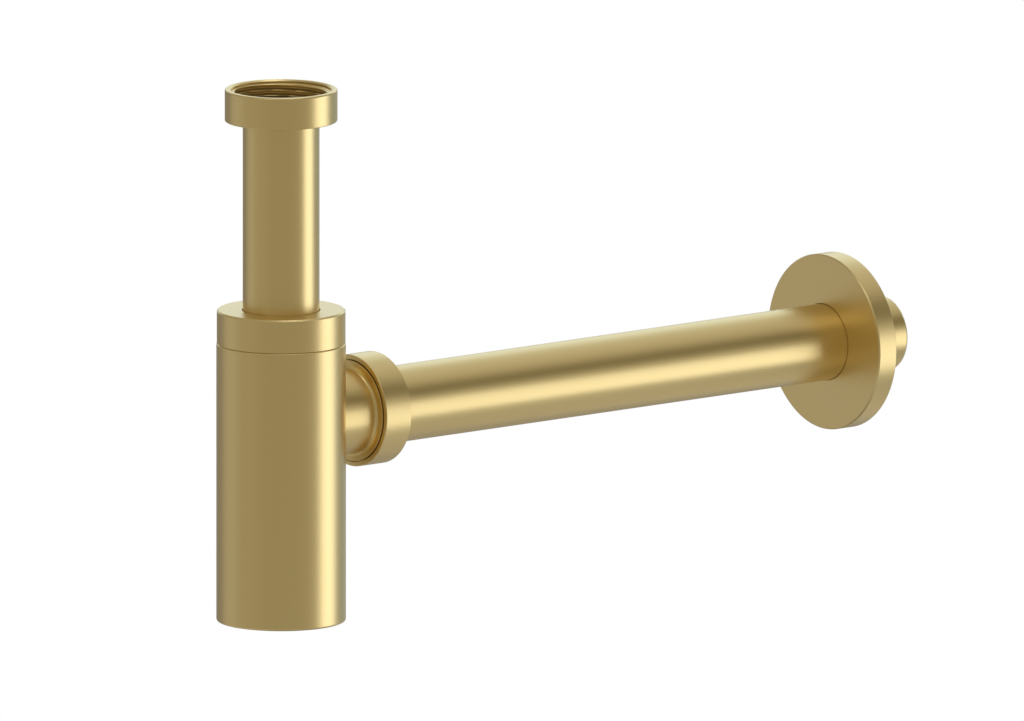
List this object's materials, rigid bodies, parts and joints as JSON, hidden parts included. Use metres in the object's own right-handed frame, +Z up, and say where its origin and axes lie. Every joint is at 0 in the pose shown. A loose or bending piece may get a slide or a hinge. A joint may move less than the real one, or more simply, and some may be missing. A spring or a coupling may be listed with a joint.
{
  "type": "basin trap",
  "caption": "Brass bottle trap for a wash basin: threaded inlet nut and dip tube, straight bottle with collar, side outlet with compression nut, wall tube and round wall flange.",
  "frame": {"origin": "centre of the inlet nut's mouth, where the basin's waste screws in", "axes": "+Z up along the inlet and out of its mouth, +X along the wall tube towards the wall"},
  "size_m": [0.3523, 0.0736, 0.225],
  "materials": {
    "brass": "satin, finely brushed",
    "rubber": "matt black rubber",
    "nylon": "natural nylon"
  },
  "bodies": {
    "bottle": {"bottle_body": "brass"},
    "collar_seal": {"collar_seal": "rubber"},
    "inlet_tube": {"inlet_tube": "brass", "inlet_washer": "rubber"},
    "inlet_nut": {"inlet_nut": "brass"},
    "collar_slip_ring": {"collar_slip_ring": "nylon"},
    "collar": {"collar": "brass"},
    "outlet_seal": {"outlet_seal": "rubber"},
    "wall_tube": {"wall_tube": "brass"},
    "flange_o_ring": {"flange_o_ring": "rubber"},
    "wall_flange": {"wall_flange": "brass"},
    "outlet_slip_ring": {"outlet_slip_ring": "nylon"},
    "outlet_nut": {"outlet_nut": "brass"}
  },
  "joints": [
    {"name": "inlet_swivel", "type": "hinge", "parent": "bottle", "child": "collar_seal", "pos_m": [0, 0, -0.1], "axis": [0, 0, 1], "continuous": true},
    {"name": "inlet_height", "type": "slide", "parent": "collar_seal", "child": "inlet_tube", "axis": [0, 0, 1], "range_m": [-0.012, 0.04]},
    {"name": "inlet_nut_turn", "type": "hinge", "parent": "inlet_tube", "child": "inlet_nut", "pos_m": [0, 0, 0], "axis": [0, 0, 1], "continuous": true},
    {"name": "collar_lift", "type": "slide", "parent": "bottle", "child": "collar_slip_ring", "axis": [0, 0, 1], "range_m": [0, 0.00693]},
    {"name": "collar_turn", "type": "hinge", "parent": "collar_slip_ring", "child": "collar", "pos_m": [0, 0, -0.1], "axis": [0, 0, 1], "range_deg": [0, 1080]},
    {"name": "wall_tube_swivel", "type": "hinge", "parent": "bottle", "child": "outlet_seal", "pos_m": [0.044, 0, -0.1405], "axis": [1, 0, 0], "continuous": true},
    {"name": "wall_tube_reach", "type": "slide", "parent": "outlet_seal", "child": "wall_tube", "axis": [1, 0, 0], "range_m": [-0.007, 0.014]},
    {"name": "flange_slide", "type": "slide", "parent": "wall_tube", "child": "flange_o_ring", "axis": [1, 0, 0], "range_m": [-0.2, 0.015]},
    {"name": "flange_turn", "type": "hinge", "parent": "flange_o_ring", "child": "wall_flange", "pos_m": [0.2968, 0, -0.1405], "axis": [1, 0, 0], "continuous": true},
    {"name": "outlet_nut_shift", "type": "slide", "parent": "bottle", "child": "outlet_slip_ring", "axis": [1, 0, 0], "range_m": [0, 0.00578]},
    {"name": "outlet_nut_turn", "type": "hinge", "parent": "outlet_slip_ring", "child": "outlet_nut", "pos_m": [0.0445, 0, -0.1405], "axis": [1, 0, 0], "range_deg": [0, 900]}
  ],
  "couplings": [
    {"joint": "collar_lift", "follows": "collar_turn", "m_per_rad": 0.00036749},
    {"joint": "outlet_nut_shift", "follows": "outlet_nut_turn", "m_per_rad": 0.00036749}
  ]
}
